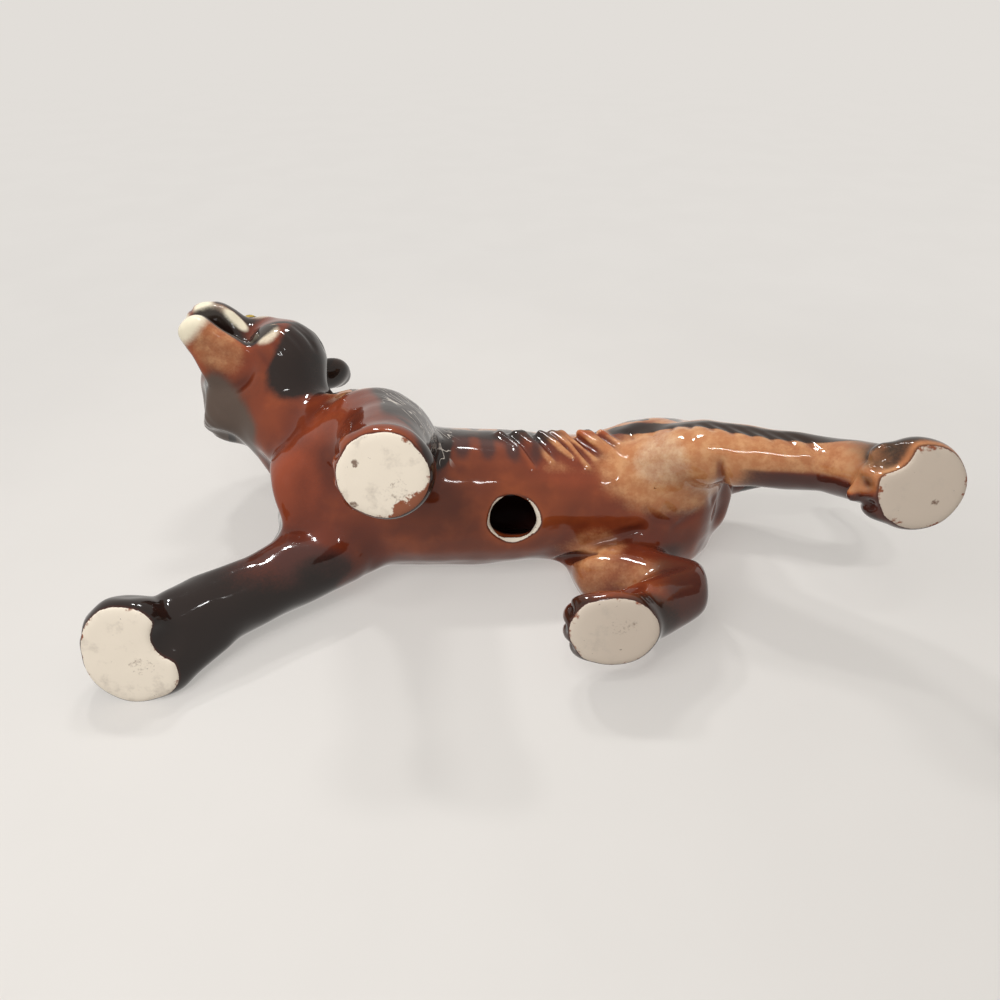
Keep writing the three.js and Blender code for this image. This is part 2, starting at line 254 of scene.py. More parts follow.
def egg_distance(x, y, z, middle, radii, lean=0.0):
    """Distance to an egg shape. It leans back about its own cross axis."""
    x, y, z = x - middle[0], y - middle[1], z - middle[2]
    if lean:
        cos, sin = math.cos(lean), math.sin(lean)
        x, z = cos * x - sin * z, sin * x + cos * z
    a, b, c = radii
    ratio = length(x / a, y / b, z / c)
    steep = length(x / a ** 2, y / b ** 2, z / c ** 2)
    return ratio * (ratio - 1) / np.maximum(steep, TINY)


def path_distance(x, y, z, path, thick):
    """Distance to a chain of tapered bars, and the share of the chain passed at the nearest point."""
    path = np.asarray(path, float)
    thick = np.broadcast_to(thick, len(path))
    lengths = np.linalg.norm(np.diff(path, axis=0), axis=1)
    passed = np.concatenate([[0], np.cumsum(lengths)])
    least, where = np.inf, 0.0
    for i, bar in enumerate(lengths):
        a, b = path[i], path[i + 1]
        line = (b - a) / bar
        ax, ay, az = x - a[0], y - a[1], z - a[2]
        along = np.clip(ax * line[0] + ay * line[1] + az * line[2], 0, bar)
        away = length(ax - along * line[0], ay - along * line[1], az - along * line[2])
        away = away - (thick[i] + (thick[i + 1] - thick[i]) * along / bar)
        share = (passed[i] + along) / passed[-1]
        where = np.where(away < least, share, where)
        least = np.minimum(least, away)
    return least, where


def add_clay(cut, form, flow):
    """Joins a form to the field, with a soft edge as wide as flow."""
    distance[cut] = smooth_least(distance[cut], form, np.float32(flow))


def take_clay(cut, form, flow):
    """Takes a form out of the field in the same way."""
    distance[cut] = smooth_most(distance[cut], -form, np.float32(flow))


def egg(place, middle, radii, flow, lean):
    """The slices of the grid round an egg shape, and its distance there."""
    cut = covering(place, [middle], max(radii) + flow)
    return cut, egg_distance(*place.local(*coordinates(cut)), middle, radii, lean)


def roll(place, path, thick, flow):
    """The slices of the grid round a tapered roll along a path, and its distance there."""
    cut = covering(place, path, np.max(thick) + flow)
    form, _ = path_distance(*place.local(*coordinates(cut)), path, thick)
    return cut, form.astype(np.float32)


def lump(place, middle, radii, flow, lean=0.0):
    """Adds an egg of clay."""
    add_clay(*egg(place, middle, radii, flow, lean), flow)


def dent(place, middle, radii, flow, lean=0.0):
    """Takes an egg of clay away."""
    take_clay(*egg(place, middle, radii, flow, lean), flow)


def limb(place, path, thick, flow):
    """Adds a tapered roll of clay along a path."""
    add_clay(*roll(place, path, thick, flow), flow)


def carve(place, path, thick, flow):
    """Takes a tapered roll of clay away along a path."""
    take_clay(*roll(place, path, thick, flow), flow)


def groove(place, path, width, depth):
    """Presses a line into the skin, shallower towards its ends. A negative depth raises it."""
    cut = covering(place, path, 3 * width)
    away, share = path_distance(*place.local(*coordinates(cut)), path, 0)
    taper = np.sqrt(np.clip(4 * share * (1 - share), 0, 1))
    distance[cut] += (depth * taper * np.exp(-(away / width) ** 2)).astype(np.float32)


def mirrored(path, side):
    """A path that is given for the right side, set on either side."""
    return [(x, side * y, z) for x, y, z in path]


# Muscles. Places on the body are measured back and to the right from the vent's middle, and up from the
# ground. Places on the head are measured from its own middle, along its turned axes.

def shape_body():
    for side in SIDES:
        lump(BODY, (-58, 18.9 * side, 85.8), (23, 10.5, 19), 7)  # shoulder blades
        lump(BODY, (60, 18.4 * side, 79.8), (24, 11, 18), 7)  # haunches
    lump(BODY, (-86.6, -5.4, 67.8), (11, 17, 18), 7)  # breast
    limb(BODY, [(-60, -2, 104), (-20, 0, 103), (40, 0, 99), (80, 0, 96)], [4, 3.4, 3.4, 4], 6)  # spine
    dent(BODY, (34, -37, 60), (20, 10, 12), 9)  # the waist's hollow, left
    dent(BODY, (8, 37, 60), (20, 9, 12), 9)  # and right


def shape_legs():
    limb(BODY, [(-52, -33, 62), (-47, -31, 36)], [13, 10.5], 8)  # left forearm
    limb(BODY, [(-60, -30, 62), (-74, -21, 64), (-84, -10, 65)], [10, 9.5, 9], 13)  # left breast muscle
    limb(BODY, [(-88, 20, 50), (-108, 27, 32)], [13, 10.5], 8)  # right forearm
    limb(BODY, [(36, 24, 50), (50, 22, 37)], [11, 8], 6)  # right shank
    limb(BODY, [(-121, 42, 8), (-110, 35.5, 18)], [8.5, 6.5], 6)  # right ankle
    dent(BODY, (-131, 3.5, 11), (14, 12.3, 12), 3)  # the inner side of the right front paw
    front_of_forearm = [(-124, 2, 32), (-115.8, 4.2, 39.1), (-109.3, 4.7, 44.4), (-105, 2.6, 49.5)]
    carve(BODY, front_of_forearm, [12, 13.5, 14, 14], 4)
    dent(BODY, (-118.5, -4, 58), (25, 22, 30), 5)  # the breast's flat front
    dent(BODY, (68, 41, 24), (18, 11, 16), 6)  # beside the right hock
    dent(BODY, (82.5, 22, 27), (12, 16, 16), 7)  # and behind it
    dent(BODY, (14, 33, 42), (13, 9, 10), 4)  # the right knee's outer side
    dent(BODY, (92, 3, 50), (12, 20, 16), 6)  # under the rump


def shape_head():
    for side in SIDES:
        lump(HEAD, (-6, 15 * side, 0), (10, 8.5, 8), 5)  # cheekbones
        brow = [(-20, 3, 15), (-17.5, 9, 16.5), (-12, 14, 14.5)]
        limb(HEAD, mirrored(brow, side), [3.4, 3.2, 2.4], 4)
        lump(HEAD, (-24.5, 6.2 * side, -6.5), (8, 7.2, 6.3), 2.5)  # whisker pads
    limb(HEAD, [(-12, 0, 15), (-23, 0, 9.5), (-31, 0, 4)], [9, 7, 4.8], 4)  # nose bridge
    lump(HEAD, (-26, 0, -20.5), (5.5, 7, 5.5), 3)  # chin
    for side in SIDES:
        dent(HEAD, (-25, 14 * side, -24), (15, 7.5, 9), 4)  # the jaw narrows to the chin
        jawbone = [(-27, 3, -22), (-16, 6, -22), (-5, 10, -20)]
        limb(HEAD, mirrored(jawbone, side), [2.4, 2.8, 2.2], 3)
    dent(HEAD, (-6, 41, -9), (22, 12, 26), 3)  # the right ruff is flatter at its side
    dent(HEAD, (-12.5, 29.5, -20), (14, 14, 18), 3)  # in front
    dent(HEAD, (16.5, 32.6, -22.5), (13, 13, 13), 3)  # and behind


COARSE = 3  # voxels in a step of the search for hollows
PLUG = 14  # half the width of the plug that shuts the vent for that search
PLUG_TOP = 53


def grown(cells):
    """A set of cells with each one's six neighbours."""
    wider = cells.copy()
    for axis in range(3):
        ahead, behind = [slice(None)] * 3, [slice(None)] * 3
        ahead[axis], behind[axis] = slice(1, None), slice(None, -1)
        wider[tuple(ahead)] |= cells[tuple(behind)]
        wider[tuple(behind)] |= cells[tuple(ahead)]
    return wider


def fill_hollows():
    """Makes the castings solid, so that modelling on the outside can't leave crumbs inside."""
    steps = tuple(slice(COARSE // 2, None, COARSE) for _ in range(3))
    free = distance[steps] > 0
    plug = span(BODY.world((-PLUG, -PLUG, 0)), BODY.world((PLUG, PLUG, PLUG_TOP)))
    free[tuple(slice(s.start // COARSE, s.stop // COARSE + 1) for s in plug)] = False
    outside = np.pad(np.zeros([n - 2 for n in free.shape], bool), 1, constant_values=True)
    count = 0
    while outside.sum() != count:
        count = outside.sum()
        outside |= grown(outside) & free
    void = grown(free & ~outside)
    for axis in range(3):
        void = np.repeat(void, COARSE, axis=axis)
    void = np.pad(void, [(0, max(0, n - m)) for n, m in zip(shape, void.shape)])
    void = void[:shape[0], :shape[1], :shape[2]]
    np.negative(distance, out=distance, where=void & (distance > 0))
    for name in ("head", "torso"):
        cut = span(*[np.array(corner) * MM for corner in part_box(name)])
        owner[cut] = np.where(owner[cut] == 0, NUMBER[name], owner[cut])


fill_hollows()
shape_body()
shape_legs()
shape_head()
distance = blurred(distance - np.float32(CLOSE), SOFTEN)


# Finer modelling

EYE = np.array([-18.0, 10.4, 9.0])  # the middle of the right eye
WHISKER_ROWS = (-3.5, -6, -8.5)


def model_face():
    dent(HEAD, (-28, 0, -13.8), (16, 13.5, 3.3), 1.5)  # the open mouth
    lump(HEAD, (-20, 0, -16.2), (10, 5, 2.0), 1.2)  # tongue
    lump(HEAD, (-33.2, 0, 2.2), (3, 5.2, 3.3), 1.2)  # nose pad
    groove(HEAD, [(-37, 0, 0), (-36.5, 0, -5), (-34, 0, -12)], 1.0, 1.3)  # between the whisker pads
    groove(HEAD, [(-16, 0, 21), (-4, 0, 27), (8, 0, 28)], 2.2, 0.7)  # forehead
    for side in SIDES:
        dent(HEAD, (-36.2, 2.7 * side, 1.2), (1.6, 1.5, 1.2), 0.8)  # nostrils
        dent(HEAD, (-22.5, 11.2 * side, 9), (4.6, 5.2, 3.8), 2)  # eye sockets
        lump(HEAD, EYE * [1, side, 1], (4.1, 4.1, 3.5), 0.6)  # eyes
        upper_lid = [(-20.2, 6.2, 9.3), (-20.6, 9.6, 12.3), (-17.4, 13.8, 11.6), (-14.2, 16, 9)]
        lower_lid = [(-20.2, 6.2, 9), (-20.2, 10, 5.7), (-16.8, 14, 6.7)]
        lip = [(-33, 2, -12.3), (-27, 11, -11.5), (-17, 13.5, -11)]
        limb(HEAD, mirrored(upper_lid, side), [0.8, 1.3, 1.2, 0.6], 0.9)
        limb(HEAD, mirrored(lower_lid, side), [0.8, 1.0, 0.6], 0.9)
        groove(HEAD, mirrored(lip, side), 1.1, 0.8)
        for row, z in enumerate(WHISKER_ROWS):
            groove(HEAD, mirrored([(-35, 5 - row, z), (-29, 13, z), (-23, 14, z)], side), 0.9, 0.35)


LOCKS = 11  # on each side of the ruff
LOCKS_FROM, LOCKS_OVER = 62, 165  # degrees: where the first one is, and how far they go round


def model_ruff():
    """Locks of fur round the face, parted by uneven grooves."""
    for side in SIDES:
        for i in range(LOCKS):
            share = i / (LOCKS - 1)
            sway = math.sin(2.7 * i)
            turn = math.radians(LOCKS_FROM - LOCKS_OVER * share + 4 * sway)
            across, up = math.cos(turn), math.sin(turn)
            start = (-3 - 5 * share + sway, 16.5 + 14.5 * across, -6 + 17.6 * up)
            end = (12 - 4 * share + 3 * sway, 16.5 + 15 * across, -8 + 19.5 * up)
            groove(HEAD, mirrored([start, end], side), 1.1, 1.0 + 0.3 * sway)


EAR_LEAN = math.radians(40)


def model_ears():
    """A root and a cupped front for each ear."""
    forward = np.array([-math.cos(EAR_LEAN), 0, math.sin(EAR_LEAN)])
    for middle in EAR_MIDDLES:
        lump(HEAD, middle - [0.5, 0, 4], (4.6, 7.5, 7), 4, EAR_LEAN)
        dent(HEAD, middle + 4.6 * forward + [0, 0, 2.8], (3.4, 5.2, 6.6), 1.2, EAR_LEAN)


TOES = (-0.63, -0.22, 0.22, 0.63)  # their places across a paw, as shares of half its width
TOE_GAPS = (-0.43, 0, 0.43)
TOE_SIZE, TOE_HEIGHT = (6.4, 4.4, 6.8), 7.5
PAW_HALF_WIDTH, FAR_PAW_HALF_WIDTH = 13.5, 16


def model_paws():
    """Four toes on the front of each paw, parted by grooves, and what differs from paw to paw."""
    for name, (x, y, _) in SOLES.items():
        place = Place([x, y, 0])
        wide = FAR_PAW_HALF_WIDTH if name == "front_right" else PAW_HALF_WIDTH
        for toe in TOES:
            ahead = -11.5 + 5.5 * abs(toe)
            lump(place, (ahead, toe * wide, TOE_HEIGHT), TOE_SIZE, 1.4)
        for gap in TOE_GAPS:
            ahead = -14.5 + 5 * abs(gap)
            across = gap * wide
            parting = [(ahead - 2, across, 2), (ahead, across, 10), (ahead + 6, 0.9 * across, 17)]
            groove(place, parting, 1.4, 2.3)
    dent(BODY, (-115.2, 27.2, -3), (8, 8.4, 9), 2)  # the far front paw's sole is kidney-shaped
    carve(BODY, [(14, 9, 13), (28, 7, 14), (38, 8, 13.5)], [8, 9.5, 9], 2)  # the bent rear paw is low
    dent(BODY, (115, -38, 0), (8, 7, 7), 2)  # the stretched rear paw's heel is tucked in
    for fold in (0, 1, 2):  # and folded
        start, end = (111 + 3.2 * fold, -21, 10 - 2.5 * fold), (117.5 + 3.2 * fold, -37, 8 - 2 * fold)
        limb(BODY, [start, end], [2.4, 1.8], 1.2)
        groove(BODY, [np.add(start, (1.7, 0, -1.2)), np.add(end, (1.7, 0, -1))], 0.9, 1.2)


LICKS, LICK_STEP = 9, 5.2  # tufts on the flank, and the distance between them
NOTCHES = (0.2, 0.7)  # in each stretch of the hip's edge, as shares of it


def model_folds():
    """Creases where the limbs meet the body, and tufts and notches in the coat."""
    groove(BODY, [(-66, -43, 67), (-65, -40, 57), (-62, -33, 50)], 1.8, 1.6)  # armpit
    groove(BODY, [(-77, -33, 65), (-72, -26, 57), (-68, -18, 50)], 1.8, 1.3)
    groove(BODY, [(74, -27, 36), (76, -18, 38), (80, -8, 52), (81, -3, 59)], 2.4, 2.6)  # groin
    groove(BODY, [(50, -4, 48.3), (56, 1, 48.8), (64, 3, 50.2)], 1.6, 1.1)  # and its wrinkles
    groove(BODY, [(58, -4, 48.8), (64, 0, 50), (70, 1, 51.6)], 1.5, 1.2)
    groove(BODY, [(62, 6, 50.2), (68, 3, 51.2), (74, -2, 53)], 1.6, 1.0)
    groove(BODY, [(40, -26, 60), (50, -16, 47), (56, -4, 46)], 3.0, 0.8)  # before the left thigh
    groove(BODY, [(14, 17, 44), (26, 13, 46), (40, 8, 47), (52, 5, 50)], 2.2, 2.2)  # and the right one
    groove(BODY, [(14, -1, 44), (30, 0, 45), (44, 1, 47)], 0.9, -0.35)  # the mould's seam
    over_knee = [(19, 21, 56.5), (23.7, 18, 50.8), (28.2, 15.8, 46.4), (33, 14, 43.8)]
    carve(BODY, over_knee, [1.4, 2.2, 2.2, 0.8], 1.5)  # between the belly and the right knee
    for i in range(LICKS):  # flank tufts, uneven like licks of flame
        sway = math.sin(2.3 * i)
        x = 2 + LICK_STEP * i + 1.2 * sway
        z = 68.5 + 0.3 * i
        tip = (x + 6.5 + sway, -19.5 + 1.2 * math.cos(3.1 * i), z - 13 - 2.5 * math.cos(1.7 * i))
        lick = [(x - 7, -28, z + 2), (x - 0.6, -25, z - 5), tip]
        limb(BODY, lick, [1.6, 1.2 + 0.3 * sway, 0.3], 2.2)
        parting = [np.add(p, (2.3 + 0.5 * sway, 0, -0.6)) for p in lick]
        groove(BODY, parting, 0.8, 1.0 + 0.4 * math.cos(2.9 * i))
    notched = [(43, -28, 70), (57, -33, 59), (69, -36, 48), (82, -35, 42), (94, -34, 36), (106, -33, 30)]
    for start, end in zip(notched, notched[1:]):  # notches along the hip
        for share in NOTCHES:
            x, y, z = np.array(start) + share * (np.array(end) - start)
            groove(BODY, [(x - 5, y - 2, z + 7), (x + 1, y, z), (x + 4, y + 5, z - 5)], 1.1, 1.3)


CHAMBER = [(-14, 0, 0), (14, 0, 0)]  # the hollow's middle line
CHAMBER_WIDE, CHAMBER_DEEP, CHAMBER_HEIGHT = 16, 20, 69.5


def chamber_distance(x, y, z):
    """Distance to the hollow inside the body casting."""
    height = (z - CHAMBER_HEIGHT) * CHAMBER_WIDE / CHAMBER_DEEP
    away, _ = path_distance(x, y, height, CHAMBER, CHAMBER_WIDE)
    return away


def model_hollow():
    """Opens the hollow behind the vent."""
    cut = covering(BODY, [(x, 0, CHAMBER_HEIGHT) for x, _, _ in CHAMBER], 1.5 * CHAMBER_DEEP)
    hollow = chamber_distance(*BODY.local(*coordinates(cut)))
    distance[cut] = np.maximum(distance[cut], -hollow)


VENT_RADIUS = 8.7
VENT_TOP = 60  # inside the hollow
VENT_EDGE = 0.7  # rounding of its edge
VENT_ROOM = 12


def model_vent():
    """The firing vent, cut by hand after casting, so not quite round."""
    cut = span(OPENINGS["vent_hole"][0] - VENT_ROOM, OPENINGS["vent_hole"][1] + VENT_ROOM)
    x, y, z = BODY.local(*coordinates(cut))
    turn = np.arctan2(y, x)
    wide = VENT_RADIUS + 0.45 * np.sin(2 * turn + 0.6) + 0.25 * np.sin(3 * turn)
    wide = wide + 0.12 * np.sin(7 * turn + 1)
    hole = np.maximum(length(x, y) - wide, z - VENT_TOP)
    take_clay(cut, hole, VENT_EDGE)


def wobble(x, y, z, size):
    """A slow wave through space, for what is made by hand."""
    return (np.sin(x / size + 1.3 * np.sin(z / size)) + np.sin(y / size * 1.3 + 2.1)
            + np.sin(z / size * 0.9 + x / size * 0.6 + 0.7)) / 3


everywhere = (slice(0, shape[0]), slice(0, shape[1]), slice(0, shape[2]))
x, y, z = coordinates(everywhere)
slow_wave, quick_wave = wobble(x, y, z, WANDER[0]), wobble(y, z, x, WANDER[1])
distance += UNEVEN * (slow_wave + 0.5 * quick_wave).astype(np.float32)
model_face()
model_ruff()
model_ears()
model_paws()
model_folds()
distance = blurred(distance, SETTLE)
model_hollow()
model_vent()

# The soles are ground flat, and nothing leaves the box of the CAD model
uncut = distance.copy()
distance = smooth_most(distance, -z, np.float32(RIM))
for line, low, high in ((x, low_corner[0], high_corner[0]), (y, low_corner[1], high_corner[1])):
    distance = np.maximum(distance, np.maximum(low - line, line - high).astype(np.float32))
distance = np.maximum(distance, (z - high_corner[2]).astype(np.float32))
hollows = blurred(distance, HOLLOW_LOOK)


# The skin, cut up by casting

def skin():
    """One vertex in each cube of the grid that the surface crosses, and each piece's four-sided faces."""
    labels = np.where(distance < 0, owner, 0).astype(np.int8)
    lead = np.maximum(runner_up - nearest, LEAST_LEAD)
    low, high = labels[:-1, :-1, :-1], labels[:-1, :-1, :-1]
    for i, j, k in CORNERS:
        corner = labels[i:shape[0] - 1 + i, j:shape[1] - 1 + j, k:shape[2] - 1 + k]
        low, high = np.minimum(low, corner), np.maximum(high, corner)
    cells = np.argwhere(low != high)
    number = np.full([n - 1 for n in shape], -1, np.int32)
    number[tuple(cells.T)] = np.arange(len(cells))

    sums = np.zeros((2, len(cells), 3))  # of the crossings on the surface, and of those on a seam
    counts = np.zeros((2, len(cells)))
    faces = {}
    for axis in range(3):
        step = np.eye(3, dtype=int)[axis]
        others = [np.eye(3, dtype=int)[a] for a in range(3) if a != axis]
        for side in ([0, 0], [0, 1], [1, 0], [1, 1]):
            start = cells + side[0] * others[0] + side[1] * others[1]
            a, b = tuple(start.T), tuple((start + step).T)
            label_a, label_b = labels[a], labels[b]
            crosses = (label_a == 0) != (label_b == 0)
            with np.errstate(all="ignore"):
                on_surface = distance[a] / (distance[a] - distance[b])
                on_seam = lead[a] / (lead[a] + lead[b])
            share = np.where(crosses, on_surface, on_seam)
            place = start + share[:, None] * step
            for kind, chosen in enumerate((crosses, (label_a != label_b) & ~crosses)):
                sums[kind, chosen] += place[chosen]
                counts[kind, chosen] += 1

        cut = [slice(1, -1)] * 3
        ahead = list(cut)
        cut[axis], ahead[axis] = slice(None, -1), slice(1, None)
        here, there = labels[tuple(cut)], labels[tuple(ahead)]
        found = np.argwhere(here != there)
        label_a, label_b = here[tuple(found.T)], there[tuple(found.T)]
        found = found + 1 - step
        if axis == 1:
            others = others[::-1]
        ring = [found - others[0] - others[1], found - others[1], found, found - others[0]]
        quads = np.stack([number[tuple(corner.T)] for corner in ring], axis=1)
        for label in NUMBER.values():
            faces.setdefault(label, []).append(quads[label_a == label])
            faces[label].append(quads[label_b == label][:, ::-1])

    on_skin = counts[0] > 0
    place = np.where(on_skin[:, None], *sums) / np.where(on_skin, *counts)[:, None]
    points = origin + place * VOXEL
    return points, {label: np.concatenate(parts) for label, parts in faces.items()}


def sampled(field, points):
    """A field's values between the grid's points."""
    place = (points - origin) / VOXEL
    corner = np.clip(np.floor(place).astype(int), 0, np.array(shape) - 2)
    share = place - corner
    total = np.zeros(len(points))
    for i, j, k in CORNERS:
        weight = np.ones(len(points))
        for axis, far_side in enumerate((i, j, k)):
            weight = weight * (share[:, axis] if far_side else 1 - share[:, axis])
        total += weight * field[corner[:, 0] + i, corner[:, 1] + j, corner[:, 2] + k]
    return total


def normals_at(points, field):
    """Unit vectors that point the way in which a field rises."""
    sides = []
    for axis in range(3):
        step = np.eye(3)[axis] * VOXEL
        sides.append(sampled(field, points + step) - sampled(field, points - step))
    normals = np.stack(sides, axis=1)
    return normals / np.maximum(np.linalg.norm(normals, axis=1), TINY)[:, None]


points, piece_faces = skin()
normals = normals_at(points, distance)


def new_mesh(name, places, quads):
    mesh = bpy.data.meshes.new(name)
    mesh.vertices.add(len(places))
    mesh.vertices.foreach_set("co", (places / MM).astype(np.float32).ravel())
    mesh.loops.add(quads.size)
    mesh.loops.foreach_set("vertex_index", quads.astype(np.int32).ravel())
    mesh.polygons.add(len(quads))
    mesh.polygons.foreach_set("loop_start", np.arange(0, quads.size, 4, dtype=np.int32))
    mesh.polygons.foreach_set("use_smooth", np.ones(len(quads), bool))
    mesh.update(calc_edges=True)
    return mesh


# Paint, as masks on the skin. Some masks are painted shade, painted shadow and painted highlights.

SOLE_LOOK = 3.5  # height at which the distance to a sole's edge is taken
SOLE_TOP = 1.6  # what lies lower counts as sole
FAR = 9.0  # stands for any greater distance
SPOT_GONE, SPOT_FULL = 1.15, 0.55  # shares of a soft patch's radii
POOL_DEPTH, POOL_MOST = 0.8, 1.5  # how hollow a fold is for a full pool of glaze, and the limit
STRIPE_STEP, BAND_STEP, FACE_STRIPE_STEP = 13.5, 12.5, 8.5  # on the flank, on legs and tail, on the head
RAW_RADIUS, RAW_TOP = 9.2, 46.5  # the raw edge of the vent

bx, by, bz = BODY.local(*points.T)
hx, hy, hz = HEAD.local(*points.T)
BODY_AND_HEAD = {BODY: (bx, by, bz), HEAD: (hx, hy, hz)}
nx, ny, nz = normals_at(points, hollows).T


def fade(value, start, stop):
    """Rises smoothly from 0 to 1 between start and stop, which may be given either way round."""
    share = np.clip((value - start) / (stop - start), 0, 1)
    return share * share * (3 - 2 * share)


def spot(place, middle, radii):
    """A soft round patch, 1 in its middle and 0 past its radii."""
    x, y, z = BODY_AND_HEAD[place]
    a, b, c = radii
    ratio = length((x - middle[0]) / a, (y - middle[1]) / b, (z - middle[2]) / c)
    return fade(ratio, SPOT_GONE, SPOT_FULL)


def patches(place, *rows):
    """Soft round patches, each given by its strength, middle and radii."""
    return [strength * spot(place, middle, radii) for strength, middle, radii in rows]


def pair(strength, middle, radii):
    """The same patch on both sides of the head."""
    return patches(HEAD, *[(strength, middle * np.array([1, side, 1]), radii) for side in SIDES])


def layered(*masks):
    """Coats sprayed over each other."""
    bare = np.ones(len(points))
    for mask in masks:
        bare = bare * (1 - np.clip(mask, 0, 1))
    return 1 - bare


head_share = length((hx + 8) / 54, hy / 48, (hz - 2) / 46)
on_head = fade(head_share, 1.0, 0.85) * fade(hx, 36, 28)
on_body = 1 - on_head
wave = wobble(bx, by, bz, 9.0)
hip_line = np.interp(bx, [0, 10, 43, 57, 69, 82, 94, 106, 130], [66, 66, 68, 59, 47, 40, 33, 27, 20])
outward = ny * np.sign(by)
outside = fade(outward, 0.35, 0.7) * fade(nz, -0.3, 0.1)
fore_left = fade(bx, -84, -74) * fade(bx, -18, -26) * fade(by, -10, -16)
fore_right = fade(bx, -62, -74) * fade(by, 0, 8) * fade(bz, 80, 66)
hind_left = fade(bx, 74, 88) * fade(by, -6, -12) * fade(bz, 66, 54)
hind_right = fade(by, 8, 14) * fade(bx, 12, 18) * fade(bx, 84, 74) * fade(bz, 58, 50)

pool = np.clip(-sampled(hollows, points) / POOL_DEPTH, -POOL_MOST, POOL_MOST)

cream_and_hip_highlight = layered(
    0.95 * fade(hx + 0.35 * (hz + 20) + 1.5 * wave, -21.5, -31) * fade(hz, -12, -15),
    *pair(0.85, (-31, 5, -7), (6.5, 6, 6)),
    *pair(0.85, (-19.5, 12, -9.5), (7, 4.5, 3.2)),
    *pair(0.5, (-25.5, 10.5, -10.5), (8, 5, 4)),
    0.65 * spot(HEAD, (-6.5, -20.5, -17.5), (7, 6.5, 8)),
    0.2 * spot(HEAD, (-7, 20, -17), (6.5, 6, 6.5)),
    *pair(0.8, (-17, 9, 17), (6, 5, 3.5)),
    # a paler patch on the left hip: partly its own paler tan, partly a painted highlight
    0.36 * spot(BODY, (60, -22, 50), (20, 13, 14)),
    *pair(0.5, (-13, 17, 1), (9, 6, 6)),
)
for middle in EAR_MIDDLES:
    cream_and_hip_highlight = layered(cream_and_hip_highlight, 0.8 * spot(HEAD, middle + (-3, 0, 2), (5.5, 6, 7)))

over_line = bz - hip_line + 3 * wave
cheek_edge = np.interp(hx, [-9, -4, 2, 5, 10, 16.5, 22.6], [35, 28, 20.5, 15, 11, 11, 16.6])
# Black paint, with some painted shade and painted shadow in it
black_and_painted_shade = layered(
    on_body * fade(nz + 0.12 * wave, 0.55, 0.92) * fade(bz, 84, 98),
    fore_left * fade(0.8 * nx - 0.55 * ny + 0.1 * wave, 0.4, 0.75) * fade(bz, 20, 40),
    0.9 * fore_left * fade(0.8 * nx + 0.45 * ny, 0.0, 0.5) * fade(bz, 44, 24),
    fade(over_line, 0, 3) * fade(over_line, 13, 6) * fade(-ny, 0.3, 0.55) * fade(bx, 36, 44),
    0.5 * fade(over_line, 3, 9) * fade(-ny, 0.4, 0.7) * fade(bx, -30, -10) * fade(bx, 44, 36)
    * fade(bz, 84, 70),
    0.6 * on_body * fade(bz + 2 * wave, 61, 68) * fade(-ny, 0.15, 0.5) * fade(bx, -40, -26)
    * fade(bx, 28, 12) * fade(bz, 80, 72),
    # the right foreleg goes black towards its paw: partly its own black, partly painted shade up the leg
    fore_right * fade(bx - 20 * ny + 5 * wave, -60, -104)
    * (1 - 0.8 * fade(nz + 0.35 * ny, 0.1, 0.5) * fade(bz, 12, 26)),
    # painted shade along the right foreleg's underside
    0.8 * fore_right * fade(ny, 0.1, 0.5) * fade(nz, 0.1, -0.3),
    on_head * fade(-hy - cheek_edge + 4 * wave, -5, 7) * fade(nz + 0.2 * wave, 0.6, 0.2),
    # painted shadow under the chest, at the right armpit
    0.5 * spot(BODY, (-71, 17, 35), (15, 8, 9)),
    0.8 * (1 - cream_and_hip_highlight) * fade(np.abs(hy), 4, 9) * fade(hx, -11, -17) * fade(hz, -13, -10) * fade(hz, 3, -3),
    on_head * fade(np.abs(hy), 2, 5) * fade(hx, -3, -9) * fade(hz, -22, -19) * fade(hz, -13, -15),
    spot(HEAD, (-20, 0, -13.5), (22, 14, 6)),
    fade(bx, 96, 110) * fade(bz, 62, 72) * 0.6,
    0.55 * fade(bz, 22, 6) * outside * on_body,
    0.6 * hind_right * fade(bz, 14, 5),
    0.6 * hind_left * fade(bx + 5 * wave, 102, 124) * fade(bz, 1, 4),
    spot(HEAD, (-34.5, 0, 2.3), (4.5, 6, 4.2)),
)
for middle in EAR_MIDDLES:
    behind = 0.77 * (hx - middle[0]) - 0.64 * (hz - middle[2])
    black_and_painted_shade = layered(black_and_painted_shade, spot(HEAD, middle, (13, 13, 15)) * fade(behind, -2.0, 0.0))

# painted shade: grey over the right side and underside of the head, behind the muzzle
grey_cheek_shade = on_head * fade(hx + 2 * wave, -15, -5) * fade(hy + 0.1 * hz + 2 * wave, -2, 8)
grey_cheek_shade *= fade(nz + 0.2 * wave, 0.5, 0.0)

warm = layered(
    *patches(
        BODY,
        (0.5, (-70, -37, 54), (17, 12, 14)),
        (0.4, (-82, -25, 56), (12, 10, 12)),
        (0.7, (-92, -8, 54), (12, 16, 14)),
        (0.6, (-84, -13, 50), (13, 17, 12)),
        (0.5, (24, -20, 52), (22, 12, 10)),
    ),
    0.5 * spot(HEAD, (-10, -6, -23), (14, 10, 8)),
)

tan = layered(
    *patches(
        BODY,
        (1, (64, -22, 48), (36, 24, 30)),
        (0.32, (30, 18, 40), (16, 12, 10)),
        (0.3, (50, 18, 29), (14, 9, 9)),
        (0.4, (32, 11, 45), (14, 9, 9)),
        (0.3, (-56, -16, 47), (12, 9, 8)),
    ),
    0.7 * hind_left * fade(ny + 0.1 * wave, 0.25, -0.1),
    0.25 * hind_right * fade(nz - 0.3 * ny, 0.5, -0.2),
    fade(bx, 6, 16) * fade(bx, 52, 44) * fade(by, -14, -19) * fade(bz, 72, 66)
    * fade(-pool, 0.0, 0.7) * 0.8,
    0.8 * on_body * outside * fade(bz, 54, 68) * fade(bx, -96, -84),
    0.75 * on_head * fade(hz + 12 * nz, -6, 6),
    0.55 * spot(HEAD, (-15, -3, -23), (14, 11, 8)),
)

